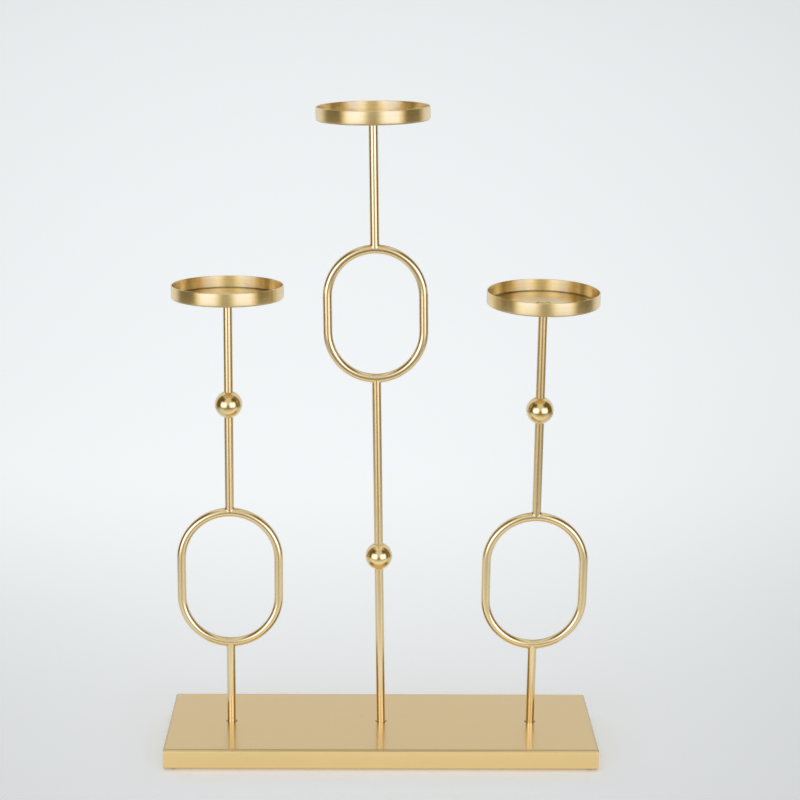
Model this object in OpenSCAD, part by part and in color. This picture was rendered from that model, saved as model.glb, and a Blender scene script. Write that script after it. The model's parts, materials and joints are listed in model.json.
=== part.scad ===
// Three-arm candle holder: a low folded base with three slim rods, each with a bead,
// an oval ring and a shallow round tray. Millimetres, Z up. The origin is on the
// surface that the holder stands on, under the middle of the base, and the front faces -Y.

/* [Base] */
// Width of the base, left to right
base_w = 300; // [250:1:400]
// Depth of the base, front to back
base_d = 105; // [90:1:160]
// Height of the base's box, without the pads
base_h = 14.5; // [12:0.5:30]
// Thickness of the base's folded sheet
sheet_t = 1.5; // [1:0.1:2]
// Rounding of the base's outer edges
edge_r = 1.2; // [0.5:0.1:3]
// Width of the lip that is folded in under the base
lip_w = 13; // [12:0.5:25]
// Diameter of a pad under the base
pad_d = 8; // [6:0.5:12]
// Thickness of a pad
pad_t = 1; // [0.5:0.1:3]

/* [Rods and beads] */
// Diameter of the straight rods
rod_d = 6.3; // [6:0.1:9]
// Diameter of the bar that the rings are bent from
bar_d = 6.3; // [4:0.1:8]
// Diameter of a bead
bead_d = 19; // [14:0.5:26]
// Gap all round between a rod and what it is welded or pinned to
weld_gap = 0.05; // [0.02:0.01:0.1]

/* [Side arms] */
// Distance of a side arm from its end of the base
side_arm_inset = 44; // [35:1:58]
// Length of rod that shows between the base and the ring
side_foot_len = 56; // [25:1:120]
// Outer width of a side ring
side_ring_w = 74; // [40:1:90]
// Outer height of a side ring
side_ring_h = 101; // [92:1:160]
// Length of rod that shows between the ring and the bead
side_mid_len = 64; // [20:1:120]
// Length of rod that shows between the bead and the tray
side_top_len = 64.5; // [20:0.5:120]

/* [Centre arm] */
// Length of rod that shows between the base and the bead
centre_foot_len = 113.5; // [30:0.5:180]
// Length of rod that shows between the bead and the ring
centre_mid_len = 114.5; // [30:0.5:180]
// Outer width of the centre ring
centre_ring_w = 71.5; // [40:0.5:90]
// Outer height of the centre ring
centre_ring_h = 95.5; // [92:0.5:160]
// Length of rod that shows between the ring and the tray
centre_top_len = 83.5; // [20:0.5:140]

/* [Leans in degrees] */
// Lean of the left arm towards the front
left_lean_front = -0.7; // [-2:0.1:2]
// Lean of the left arm towards the right
left_lean_side = 0; // [-1:0.1:1]
// Lean of the centre arm towards the front
centre_lean_front = 0; // [-2:0.1:2]
// Lean of the centre arm towards the right
centre_lean_side = -1.05; // [-2:0.05:2]
// Lean of the right arm towards the front
right_lean_front = 2.3; // [-2.5:0.1:2.5]
// Lean of the right arm towards the right
right_lean_side = 0.25; // [-1:0.05:1]

/* [Trays] */
// Outer diameter of a tray
tray_d = 76.5; // [60:0.5:90]
// Outer height of a tray's wall
tray_h = 9.4; // [6:0.1:20]
// Thickness of a tray's sheet
tray_t = 0.9; // [0.6:0.1:1.2]
// Outer rounding between a tray's floor and wall
tray_bend_r = 1.5; // [1.4:0.1:4]
// Depth of the recess that takes the screw's head
recess_h = 1.5; // [1.3:0.1:3]

/* [Screws and washers] */
// Thread diameter of the screws
screw_d = 4; // [3:0.1:4.4]
// Gap all round between a thread and the hole that it is in
thread_gap = 0.05; // [0.02:0.01:0.1]
// Gap all round a screw in a plain hole
hole_gap = 0.25; // [0.1:0.05:0.5]
// Length of thread that goes into a rod
thread_len = 8; // [5:0.5:12]
// Depth that a tapped hole goes on past its screw
tap_spare = 2; // [0.5:0.5:4]
// Head diameter of a foot screw
foot_head_d = 7.6; // [6.5:0.1:9]
// Head height of a foot screw
foot_head_h = 2.2; // [1.6:0.1:3]
// Size across flats of a foot screw's socket
socket_w = 2.5; // [1.5:0.1:3]
// Depth of a foot screw's socket
socket_h = 1.3; // [0.6:0.1:1.5]
// Diameter of a washer
washer_d = 14; // [10:0.5:20]
// Thickness of a washer
washer_t = 1; // [0.6:0.1:2]
// Head diameter of a tray screw
tray_head_d = 9; // [7:0.1:10]
// Head height of a tray screw
tray_head_h = 1.3; // [1:0.1:1.3]
// Length of one arm of the cross in a tray screw's head
cross_len = 4.4; // [3:0.1:5]
// Width of the cross
cross_w = 0.9; // [0.5:0.1:1.2]
// Depth of the cross
cross_h = 0.8; // [0.4:0.1:0.9]
// Gap all round a tray screw's head in its recess
recess_gap = 0.8; // [0.3:0.1:1.5]

/* [Hidden] */
$fn = 96;

// How far a cutting shape runs past the face that it cuts
cut = 1;

// Heights above the ground
plate_top = pad_t + base_h;
plate_under = plate_top - sheet_t;

// Place of a side arm along the base, from its middle
side_arm_x = base_w / 2 - side_arm_inset;

// Heights above the base, measured along an arm. A ring's height is that of its lowest
// point, a bead's that of its centre and a tray's that of the underside of its floor.
side_ring_at = side_foot_len;
side_bead_at = side_ring_at + side_ring_h + side_mid_len + bead_d / 2;
side_tray_at = side_bead_at + bead_d / 2 + side_top_len;
centre_bead_at = centre_foot_len + bead_d / 2;
centre_ring_at = centre_bead_at + bead_d / 2 + centre_mid_len;
centre_tray_at = centre_ring_at + centre_ring_h + centre_top_len;

left_lean = [left_lean_front, left_lean_side, 0];
centre_lean = [centre_lean_front, centre_lean_side, 0];
right_lean = [right_lean_front, right_lean_side, 0];

// Place along the base, lean and height of the tray, for each arm
arms = [
    [-side_arm_x, left_lean, side_tray_at],
    [0, centre_lean, centre_tray_at],
    [side_arm_x, right_lean, side_tray_at]
];

tray_r = tray_d / 2;
recess_r = tray_head_d / 2 + recess_gap;
hole_d = screw_d + 2 * hole_gap;
tapped_d = screw_d + 2 * thread_gap;

base_gold = [0.80, 0.69, 0.47];
rod_gold = [0.80, 0.66, 0.36];
bead_gold = [0.86, 0.72, 0.42];
tray_gold = [0.84, 0.74, 0.50];
steel = [0.72, 0.72, 0.72];
pad_grey = [0.25, 0.25, 0.25];

// Stands its children on the base, x from its middle, with the arm's lean
module on_arm(x, lean) {
    translate([x, 0, plate_top])
        rotate(lean)
            children();
}

// Flat-bottomed outline whose two top corners are rounded, and its middle at x = 0
module round_topped(w, h, r) {
    translate([-w / 2, 0])
        square([w, h - r]);
    translate([r - w / 2, 0])
        square([w - 2 * r, h]);
    for (side = [-1, 1])
        translate([side * (w / 2 - r), h - r])
            circle(r);
}

// Block with rounded top and upright edges, standing on z = 0
module soft_block(w, d, h, r) {
    intersection() {
        translate([0, d / 2, 0])
            rotate([90, 0, 0])
                linear_extrude(d)
                    round_topped(w, h, r);
        translate([-w / 2, 0, 0])
            rotate([90, 0, 90])
                linear_extrude(w)
                    round_topped(d, h, r);
        linear_extrude(h)
            for (side = [0, 180])
                rotate(side)
                    intersection() {
                        translate([0, -d / 2])
                            round_topped(w, d, r);
                        translate([0, d / 2])
                            mirror([0, 1])
                                round_topped(w, d, r);
                    }
    }
}

// Folded sheet box, open underneath inside its lip
module base_pan() {
    inner_h = base_h - 2 * sheet_t;
    color(base_gold)
        translate([0, 0, pad_t])
            difference() {
                soft_block(base_w, base_d, base_h, edge_r);
                translate([sheet_t - base_w / 2, sheet_t - base_d / 2, sheet_t])
                    cube([base_w - 2 * sheet_t, base_d - 2 * sheet_t, inner_h]);
                translate([lip_w - base_w / 2, lip_w - base_d / 2, -cut])
                    cube([base_w - 2 * lip_w, base_d - 2 * lip_w, sheet_t + 2 * cut]);
                for (arm = arms)
                    translate([arm[0], 0, base_h - sheet_t - cut])
                        cylinder(d = hole_d, h = sheet_t + 2 * cut);
            }
}

// Round pads under the four corners of the lip
module base_pads() {
    color(pad_grey)
        for (x = [-1, 1], y = [-1, 1])
            translate([x * (base_w - lip_w) / 2, y * (base_d - lip_w) / 2, 0])
                cylinder(d = pad_d, h = pad_t);
}

// Washers against the underside of the base's top
module foot_washers() {
    color(steel)
        for (arm = arms)
            translate([arm[0], 0, plate_under - washer_t])
                difference() {
                    cylinder(d = washer_d, h = washer_t);
                    translate([0, 0, -cut])
                        cylinder(d = hole_d, h = washer_t + 2 * cut);
                }
}

// Upright screws with socket heads, from below into the arms' feet
module foot_screws() {
    head_under = plate_under - washer_t - foot_head_h;
    color(steel)
        for (arm = arms)
            translate([arm[0], 0, head_under])
                difference() {
                    union() {
                        cylinder(d = foot_head_d, h = foot_head_h);
                        cylinder(d = screw_d, h = plate_top + thread_len - head_under);
                    }
                    translate([0, 0, -cut])
                        cylinder(d = socket_w / cos(30), h = socket_h + cut, $fn = 6);
                }
}

// Half of a ring's round end, and one of its straight sides below it, in the XY plane
module ring_half(w, h, bar) {
    bend_r = (w - bar_d) / 2;
    straight = h - w;
    translate([0, straight / 2, 0])
        rotate_extrude(angle = 180)
            translate([bend_r, 0])
                circle(d = bar);
    translate([bend_r, straight / 2, 0])
        rotate([90, 0, 0])
            cylinder(d = bar, h = straight);
}

// Upright oval ring, its lowest point at the height given; gap thickens the bar
module ring_bar(w, h, at, gap = 0) {
    translate([0, 0, at + h / 2])
        rotate([90, 0, 0])
            for (turn = [0, 180])
                rotate(turn)
                    ring_half(w, h, bar_d + 2 * gap);
}

module ring(x, lean, w, h, at) {
    color(rod_gold)
        on_arm(x, lean)
            ring_bar(w, h, at);
}

// Rod from the base up to a ring: cut flat on the base, tapped upright for the foot
// screw, and hollowed at the top to fit round the ring's bar
module lower_rod(x, lean, ring_w, ring_h, ring_at) {
    color(rod_gold)
        difference() {
            on_arm(x, lean)
                translate([0, 0, -cut])
                    cylinder(d = rod_d, h = ring_at + bar_d / 2 + cut);
            on_arm(x, lean)
                ring_bar(ring_w, ring_h, ring_at, weld_gap);
            translate([x, 0, plate_top - 3 * cut])
                cylinder(d = 2 * rod_d, h = 3 * cut);
            translate([x, 0, plate_top - cut])
                cylinder(d = tapped_d, h = cut + thread_len + tap_spare);
        }
}

// Rod from a ring up to a tray: hollowed at the foot to fit round the ring's bar, and
// tapped at the top for the tray screw
module upper_rod(x, lean, ring_w, ring_h, ring_at, tray_at) {
    foot = ring_at + ring_h - bar_d / 2;
    top = tray_at - recess_h;
    color(rod_gold)
        on_arm(x, lean)
            difference() {
                translate([0, 0, foot])
                    cylinder(d = rod_d, h = top - foot);
                ring_bar(ring_w, ring_h, ring_at, weld_gap);
                translate([0, 0, top - thread_len - tap_spare])
                    cylinder(d = tapped_d, h = thread_len + tap_spare + cut);
            }
}

// Ball that is bored through for its rod
module bead(x, lean, at) {
    color(bead_gold)
        on_arm(x, lean)
            translate([0, 0, at])
                difference() {
                    sphere(d = bead_d);
                    translate([0, 0, -bead_d])
                        cylinder(d = rod_d + 2 * weld_gap, h = 2 * bead_d);
                }
}

// Half outline of a round pan, from its axis out, with a rounded bottom corner
module pan_outline(r, h, bend_r) {
    square([r - bend_r, h]);
    translate([0, bend_r])
        square([r, h - bend_r]);
    translate([r - bend_r, bend_r])
        circle(bend_r);
}

// Half section of a tray: floor, wall with a round rim, and recess for the screw's head
module tray_section() {
    wall_h = tray_h - tray_t / 2;
    difference() {
        union() {
            pan_outline(tray_r, wall_h, tray_bend_r);
            translate([0, -recess_h])
                square([recess_r + tray_t, recess_h + tray_t]);
        }
        translate([0, tray_t])
            pan_outline(tray_r - tray_t, tray_h, tray_bend_r - tray_t);
        translate([0, tray_t - recess_h])
            square([recess_r, recess_h + tray_t]);
        translate([0, -recess_h - cut])
            square([hole_d / 2, tray_t + 2 * cut]);
    }
    translate([tray_r - tray_t / 2, wall_h])
        circle(d = tray_t);
}

module tray(x, lean, at) {
    color(tray_gold)
        on_arm(x, lean)
            translate([0, 0, at])
                rotate_extrude()
                    tray_section();
}

// Thin-headed screws with a cross, down through the trays into the rods
module tray_screws() {
    color(bead_gold)
        for (arm = arms)
            on_arm(arm[0], arm[1])
                translate([0, 0, arm[2] + tray_t - recess_h])
                    difference() {
                        union() {
                            cylinder(d = tray_head_d, h = tray_head_h);
                            translate([0, 0, -tray_t - thread_len])
                                cylinder(d = screw_d, h = tray_t + thread_len + tray_head_h);
                        }
                        for (turn = [0, 90])
                            rotate(turn)
                                translate([-cross_len / 2, -cross_w / 2, tray_head_h - cross_h])
                                    cube([cross_len, cross_w, cross_h + cut]);
                    }
}

module left_lower_rod() {
    lower_rod(-side_arm_x, left_lean, side_ring_w, side_ring_h, side_ring_at);
}

module left_ring() {
    ring(-side_arm_x, left_lean, side_ring_w, side_ring_h, side_ring_at);
}

module left_upper_rod() {
    upper_rod(-side_arm_x, left_lean, side_ring_w, side_ring_h, side_ring_at, side_tray_at);
}

module left_bead() {
    bead(-side_arm_x, left_lean, side_bead_at);
}

module left_tray() {
    tray(-side_arm_x, left_lean, side_tray_at);
}

module centre_lower_rod() {
    lower_rod(0, centre_lean, centre_ring_w, centre_ring_h, centre_ring_at);
}

module centre_bead() {
    bead(0, centre_lean, centre_bead_at);
}

module centre_ring() {
    ring(0, centre_lean, centre_ring_w, centre_ring_h, centre_ring_at);
}

module centre_upper_rod() {
    upper_rod(0, centre_lean, centre_ring_w, centre_ring_h, centre_ring_at, centre_tray_at);
}

module centre_tray() {
    tray(0, centre_lean, centre_tray_at);
}

module right_lower_rod() {
    lower_rod(side_arm_x, right_lean, side_ring_w, side_ring_h, side_ring_at);
}

module right_ring() {
    ring(side_arm_x, right_lean, side_ring_w, side_ring_h, side_ring_at);
}

module right_upper_rod() {
    upper_rod(side_arm_x, right_lean, side_ring_w, side_ring_h, side_ring_at, side_tray_at);
}

module right_bead() {
    bead(side_arm_x, right_lean, side_bead_at);
}

module right_tray() {
    tray(side_arm_x, right_lean, side_tray_at);
}

base_pan();
base_pads();
foot_washers();
foot_screws();
left_lower_rod();
left_ring();
left_upper_rod();
left_bead();
left_tray();
centre_lower_rod();
centre_bead();
centre_ring();
centre_upper_rod();
centre_tray();
right_lower_rod();
right_ring();
right_upper_rod();
right_bead();
right_tray();
tray_screws();
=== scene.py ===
"""Looks for a three-arm candle holder: a low satin gold base, three slim plated arms with
beads and oval rings, and three turned trays, on a plain pale studio floor."""

import json
import math

import bmesh
import bpy
from mathutils import Matrix, Vector


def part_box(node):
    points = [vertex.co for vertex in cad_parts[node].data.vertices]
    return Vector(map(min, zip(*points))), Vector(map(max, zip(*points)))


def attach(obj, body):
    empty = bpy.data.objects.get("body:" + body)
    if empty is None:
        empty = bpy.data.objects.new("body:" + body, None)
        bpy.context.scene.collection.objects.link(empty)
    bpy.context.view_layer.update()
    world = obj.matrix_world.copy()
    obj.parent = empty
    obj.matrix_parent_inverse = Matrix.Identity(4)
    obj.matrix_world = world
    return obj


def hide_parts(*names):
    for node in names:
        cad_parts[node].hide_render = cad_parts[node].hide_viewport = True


bl_info = {
    "name": "Three-Arm Candle Holder",
    "version": (1, 0, 0),
    "blender": (4, 5, 0),
    "location": "View3D > Sidebar > Candle Holder",
    "description": "Builds the visible pieces, finishes and studio of a three-arm candle holder",
    "category": "Object",
}

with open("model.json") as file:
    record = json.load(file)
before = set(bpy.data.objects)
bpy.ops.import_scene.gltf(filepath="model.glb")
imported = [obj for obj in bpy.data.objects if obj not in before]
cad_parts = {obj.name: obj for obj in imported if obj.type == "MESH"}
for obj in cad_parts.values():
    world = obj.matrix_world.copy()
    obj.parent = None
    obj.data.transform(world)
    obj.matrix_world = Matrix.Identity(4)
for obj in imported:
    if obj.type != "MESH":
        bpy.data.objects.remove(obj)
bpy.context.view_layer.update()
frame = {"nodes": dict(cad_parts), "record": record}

MM = 0.001
DEGREES = 180 / math.pi
# Power that turns a picture's brightness into light
GAMMA = 2.2
BODY = "root"

# The base stands on its pads, and the arms stand on the top of the base
CASE_LOW, CASE_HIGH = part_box("base_pan")
PLATE_TOP = CASE_HIGH.z

# A candle seat's point in the record lies this far to the side of its arm's axis
SEAT_BESIDE = 20 * MM
# Nothing that belongs to one arm lies further from its axis than this
ARM_REACH = 50 * MM

# How finely round things are cut
ROD_SIDES = 48
BAR_SIDES = 32
BEND_STEPS = 56
BEAD_STEPS = 64
TRAY_STEPS = 160
SCREW_STEPS = 48

# Faces that meet at more than this are shaded with a crisp edge between them
CRISP = math.radians(35)

# A stretched reflection lies across the marks, a quarter of a turn from their run
QUARTER_TURN = 0.25

# Places nearer to each other than this are one place
SAME_PLACE = 0.001 * MM

# Attribute that keeps each vertex's place in its arm's own upright axes
OWN_PLACE = "own_place"


class Arm:
    """One arm's own axes: Z runs up its rods from the top of the base."""

    def __init__(self, side):
        seat = next(m for m in frame["record"]["mounts"] if m["name"] == side + "_candle_seat")
        along = Vector(seat["axis"])
        to_side = math.atan2(along.x, along.z)
        to_front = -math.asin(along.y)
        turn = Matrix.Rotation(to_side, 4, "Y") @ Matrix.Rotation(to_front, 4, "X")
        floor_middle = Vector(seat["pos_m"]) - turn @ Vector((SEAT_BESIDE, 0, 0))
        self.side = side
        self.seat_at = (floor_middle.z - PLATE_TOP) / along.z
        self.foot = floor_middle - self.seat_at * along
        self.place = Matrix.Translation(self.foot) @ turn

    def box(self, node):
        """Lowest and highest corner of what a node has on this arm, in the arm's axes."""
        back = self.place.inverted()
        points = [back @ v.co for v in frame["nodes"][node].data.vertices]
        near = [p for p in points if math.hypot(p.x, p.y) < ARM_REACH]
        low = Vector([min(p[axis] for p in near) for axis in range(3)])
        high = Vector([max(p[axis] for p in near) for axis in range(3)])
        return low, high


ARMS = [Arm(side) for side in ("left", "centre", "right")]
ROD_LOW, ROD_HIGH = ARMS[0].box("left_lower_rod")
RING_LOW, RING_HIGH = ARMS[0].box("left_ring")
BEAD_LOW, BEAD_HIGH = ARMS[0].box("left_bead")
TRAY_RADIUS = ARMS[0].box("left_tray")[1].x


def length(name, about, default, smallest=0.0):
    """A size in metres, for the panel."""
    return bpy.props.FloatProperty(
        name=name, description=about, default=default, min=smallest, precision=5, unit="LENGTH"
    )


def angle(name, about, default):
    """An angle, for the panel."""
    return bpy.props.FloatProperty(
        name=name, description=about, default=default, precision=3, unit="ROTATION", subtype="ANGLE"
    )


def share(name, about, default, largest=1.0):
    """A plain number from nothing up, for the panel."""
    return bpy.props.FloatProperty(
        name=name, description=about, default=default, min=0.0, max=largest, subtype="FACTOR"
    )


def tint(name, about, default):
    """A colour, for the panel."""
    return bpy.props.FloatVectorProperty(
        name=name, description=about, default=default, min=0.0, max=1.0, size=3, subtype="COLOR"
    )


class BaseSettings(bpy.types.PropertyGroup):
    """Sizes and finish of the folded base and its pads."""

    sheet: length("Sheet", "Thickness of the folded sheet", 1.5 * MM, 0.5 * MM)
    edge_round: length("Edge", "Rounding of the outer edges", 1.2 * MM, 0.3 * MM)
    lip: length("Lip", "Width of the lip that is folded in underneath", 13 * MM, 5 * MM)
    screw_hole: length("Screw Hole", "Diameter of the holes for the foot screws", 4.5 * MM)
    pad_round: length("Pad Edge", "Rounding of a pad's edge", 0.25 * MM)
    gold: tint("Gold", "Colour of the satin gold", (0.99, 0.725, 0.312))
    roughness: share("Roughness", "Roughness of the satin gold", 0.29)
    lacquer: share("Lacquer", "Share of clear lacquer over the satin gold", 1.0)
    # Painted shadow: width of the dark ring of painted contact shadow beside each rod's foot
    seam: length("Foot Seam", "Width of the dark seam beside a rod's foot", 0.8 * MM)
    pad_grey: tint("Pad", "Colour of the foam pads", (0.05, 0.05, 0.052))


class ArmSettings(bpy.types.PropertyGroup):
    """Sizes and finish of the rods, rings and beads."""

    rod: length("Rod", "Diameter of the rods", ROD_HIGH.x - ROD_LOW.x, MM)
    bar: length("Bar", "Diameter of the bar of the rings", RING_HIGH.y - RING_LOW.y, MM)
    bead: length("Bead", "Diameter of a bead", BEAD_HIGH.x - BEAD_LOW.x, MM)
    gap: length("Gap", "Gap between a rod and what it is joined to", 0.05 * MM)
    weld: length("Weld", "Radius of the weld between a rod and a ring", 1.1 * MM, 0.1 * MM)
    tapped: length("Tapped Hole", "Diameter of the tapped holes in the rods", 4.1 * MM)
    tapped_depth: length("Tapped Depth", "Depth of the tapped holes", 10 * MM)
    gold: tint("Rod Gold", "Colour of the plated rods and rings", (0.84, 0.672, 0.365))
    roughness: share("Rod Roughness", "Roughness of the rods and rings", 0.2)
    bead_gold: tint("Bead Gold", "Colour of the polished beads", (0.85, 0.655, 0.31))
    bead_roughness: share("Bead Roughness", "Roughness of the beads", 0.12)
    lacquer: share("Lacquer", "Share of clear lacquer over the plating", 1.0)


class TraySettings(bpy.types.PropertyGroup):
    """Sizes and finish of the trays."""

    sheet: length("Sheet", "Thickness of the tray's sheet", 0.9 * MM, 0.3 * MM)
    bend: length("Bend", "Outer rounding between floor and wall", 1.5 * MM, MM)
    recess: length("Recess", "Radius of the recess for the screw's head", 5.3 * MM)
    screw_hole: length("Screw Hole", "Diameter of the hole for the screw", 4.5 * MM)
    mark: length("Turned Mark", "Spacing of the coarser turned marks", 1.5 * MM, 0.1 * MM)
    fine_mark: length("Fine Mark", "Spacing of the finer turned marks", 0.16 * MM, 0.05 * MM)
    gold: tint("Tray Gold", "Colour of the turned trays", (0.92, 0.72, 0.35))
    roughness: share("Tray Roughness", "Roughness of the trays", 0.29)
    lacquer: share("Lacquer", "Share of clear lacquer over the trays", 0.6)
    streak: share("Streak", "How far the turned marks stretch what the trays mirror", 1.0)


class ScrewSettings(bpy.types.PropertyGroup):
    """Sizes and finish of the hidden screws and washers."""

    thread: length("Thread", "Diameter of the threads", 4 * MM, MM)
    pitch: length("Pitch", "Distance from one turn of a thread to the next", 0.7 * MM, 0.2 * MM)
    washer_hole: length("Washer Hole", "Diameter of the hole in a washer", 4.5 * MM)
    foot_head: length("Foot Head", "Diameter of a foot screw's head", 7.6 * MM)
    foot_head_high: length("Foot Head Height", "Height of a foot screw's head", 2.2 * MM)
    socket: length("Socket", "Size of the hexagon socket across its flats", 2.5 * MM)
    socket_deep: length("Socket Depth", "Depth of the hexagon socket", 1.3 * MM)
    tray_head_high: length("Tray Head Height", "Height of a tray screw's head", 1.3 * MM)
    cross: length("Cross", "Length of one arm of the cross in a tray screw's head", 4.4 * MM)
    cross_wide: length("Cross Width", "Width of the cross", 0.9 * MM)
    cross_deep: length("Cross Depth", "Depth of the cross", 0.8 * MM)
    zinc: tint("Zinc", "Colour of the zinc-plated steel", (0.62, 0.63, 0.65))
    roughness: share("Zinc Roughness", "Roughness of the zinc-plated steel", 0.3)


class StageSettings(bpy.types.PropertyGroup):
    """Camera, light and floor of the plain studio."""

    lens: bpy.props.FloatProperty(
        name="Lens", description="Focal length in millimetres", default=92.978, min=10.0
    )
    back: length("Distance", "How far in front of the base's middle the camera is", 1.37808)
    high: length("Height", "How far the camera is above the floor", 0.5775)
    beside: length("Offset", "How far left of the base's middle the camera is", 0.01123)
    turn: angle("Turn", "Turn of the camera to the right", math.radians(0.950))
    tip: angle("Tip", "How far the camera looks down", math.radians(13.353))
    roll: angle("Roll", "Roll of the camera", math.radians(0.491))
    soft_box: share("Soft Boxes", "Brightness of the two soft boxes in front", 3.5, 10.0)
    cool: tint("Cool Light", "Tint of the soft boxes", (0.5, 0.6, 1.0))
    warm: tint("Warm Dark", "Tint of the darkest parts of the room", (1.0, 0.8, 0.42))
    gap_low: share("Low Gap", "Brightness between the soft boxes, below eye level", 0.3, 10.0)
    gap_high: share("High Gap", "Brightness between the soft boxes, above eye level", 0.75, 10.0)
    backdrop: share("Backdrop", "Brightness of the backdrop behind", 0.78, 10.0)
    ceiling: share("Ceiling", "Brightness of the ceiling", 0.9, 10.0)
    dark: share("Dark Sides", "Brightness of the room at the sides", 0.15, 10.0)
    ground: share("Ground", "Brightness of the ground at the sides", 0.7, 10.0)
    floor: tint("Floor", "Tint of the pale floor", (0.964, 0.99, 0.996))
    beyond: tint("Beyond", "Colour seen past the end of the floor", (0.807, 0.838, 0.855))
    open_light: tint("Open Light", "Light that reaches an open floor", (0.608, 0.599, 0.588))
    lit: share("Lit", "Brightness of the open floor that is that light's doing", 0.54)


class Field:
    """A value that varies over a surface. Python's operators on it add Math nodes."""

    def __init__(self, nodes, socket):
        self.nodes = nodes
        self.socket = socket

    def __add__(self, other):
        return self.nodes.math("ADD", self, other)

    def __sub__(self, other):
        return self.nodes.math("SUBTRACT", self, other)

    def __mul__(self, other):
        return self.nodes.math("MULTIPLY", self, other)

    def __truediv__(self, other):
        return self.nodes.math("DIVIDE", self, other)

    def __pow__(self, other):
        return self.nodes.math("POWER", self, other)

    def __rsub__(self, other):
        return self.nodes.math("SUBTRACT", other, self)

    def __neg__(self):
        return self.nodes.math("MULTIPLY", self, -1.0)

    def __abs__(self):
        return self.nodes.math("ABSOLUTE", self)

    __radd__ = __add__
    __rmul__ = __mul__

    def rise(self, start, end):
        """0 before start and 1 after end, with a soft step between them."""
        return self.nodes.ranged(self, start, end, 0.0, 1.0, "SMOOTHSTEP")

    def fall(self, start, end):
        """1 before start and 0 after end, with a soft step between them."""
        return self.nodes.ranged(self, start, end, 1.0, 0.0, "SMOOTHSTEP")

    def band(self, start, full, fade, end):
        """1 from full to fade and 0 outside start and end, with soft steps."""
        return self.rise(start, full) * self.fall(fade, end)

    def towards(self, other, part):
        """Moved part of the way, from 0 to 1, towards another value."""
        return self + part * (other - self)


class Nodes:
    """Adds nodes to a material's or a world's tree."""

    def __init__(self, tree):
        self.tree = tree
        tree.nodes.clear()

    def add(self, kind, settings=None, inputs=None):
        """A node of a kind, with its settings made first and then its sockets' values or links."""
        node = self.tree.nodes.new(kind)
        for key, value in (settings or {}).items():
            setattr(node, key, value)
        for key, value in (inputs or {}).items():
            if isinstance(value, Field):
                value = value.socket
            if isinstance(value, bpy.types.NodeSocket):
                self.tree.links.new(value, node.inputs[key])
            else:
                node.inputs[key].default_value = value
        return node

    def field(self, kind, output, settings=None, inputs=None):
        """One output of a new node, for maths."""
        return Field(self, self.add(kind, settings, inputs).outputs[output])

    def math(self, operation, *values):
        settings = {"operation": operation}
        return self.field("ShaderNodeMath", "Value", settings, dict(enumerate(values)))

    def ranged(self, value, start, end, low, high, how="LINEAR"):
        """A value moved from one range to another."""
        settings = {"interpolation_type": how, "clamp": True}
        inputs = {"Value": value, "From Min": start, "From Max": end, "To Min": low, "To Max": high}
        return self.field("ShaderNodeMapRange", "Result", settings, inputs)

    def parts(self, vector):
        """The three parts of a vector."""
        node = self.add("ShaderNodeSeparateXYZ", None, {"Vector": vector})
        return [Field(self, node.outputs[axis]) for axis in "XYZ"]

    def vector(self, x, y, z):
        return self.add("ShaderNodeCombineXYZ", None, {"X": x, "Y": y, "Z": z}).outputs["Vector"]

    def shade(self, factor, first, second):
        """A colour between two, by a factor from 0 to 1."""
        settings = {"data_type": "RGBA", "blend_type": "MIX"}
        inputs = {0: factor, 6: first, 7: second}
        return self.add("ShaderNodeMix", settings, inputs).outputs[2]

    def tinted(self, colour, value):
        """A colour times a varying value."""
        settings = {"operation": "SCALE"}
        inputs = {"Vector": tuple(colour), "Scale": value}
        return self.add("ShaderNodeVectorMath", settings, inputs).outputs["Vector"]

    def noise(self, place, size, detail=2.0, rough=0.5):
        """Soft noise from 0 to 1, whose spots are about one size across."""
        inputs = {"Vector": place, "Scale": 1 / size, "Detail": detail, "Roughness": rough}
        return self.field("ShaderNodeTexNoise", "Fac", {"noise_dimensions": "3D"}, inputs)

    def object_place(self):
        return self.add("ShaderNodeTexCoord").outputs["Object"]

    def own_place(self):
        """The place in the arm's upright axes that the mesh carries with it."""
        return self.add("ShaderNodeAttribute", {"attribute_name": OWN_PLACE}).outputs["Vector"]

    def bump(self, height, depth):
        """Normals bent by a height from 0 to 1 that stands for a depth in metres."""
        inputs = {"Strength": 1.0, "Distance": depth, "Height": height}
        return self.add("ShaderNodeBump", None, inputs).outputs["Normal"]

    def glow(self, kind, colour, strength):
        """Light of a colour, from a surface or from the world."""
        return self.add(kind, None, {"Color": colour, "Strength": strength}).outputs[0]

    def mixed(self, factor, first, second):
        """A shader between two, by a factor from 0 to 1."""
        return self.add("ShaderNodeMixShader", None, {0: factor, 1: first, 2: second}).outputs[0]

    def surface(self, shader, kind="ShaderNodeOutputMaterial"):
        """Makes a shader the one that shows."""
        self.add(kind, None, {"Surface": shader})


def rgba(colour):
    """A colour with full cover, as colour sockets want it."""
    return (*colour, 1.0)


def new_material(name):
    """A material and its empty tree of nodes."""
    material = bpy.data.materials.new(name)
    material.use_nodes = True
    return material, Nodes(material.node_tree)


def metal(name, gold, rough, coat, place_of, pattern, streak=0.0):
    """A metal finish under a share of clear lacquer, made the first time a piece asks for it.

    pattern gives its cloudiness, its roughness change and its normals. streak is how far marks
    that run round an upright axis stretch what it mirrors."""
    if name in bpy.data.materials:
        return bpy.data.materials[name]
    material, nodes = new_material(name)
    clouds, rough_change, normal = pattern(nodes, place_of(nodes))
    inputs = {
        "Base Color": nodes.tinted(gold, clouds),
        "Metallic": 1.0,
        "Roughness": rough_change + rough,
        "Normal": normal,
        "Coat Weight": coat,
        "Coat Roughness": 0.06,
        "Anisotropic": streak,
        "Anisotropic Rotation": QUARTER_TURN,
    }
    shader = nodes.add("ShaderNodeBsdfPrincipled", None, inputs)
    nodes.surface(shader.outputs["BSDF"])
    return material


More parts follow.
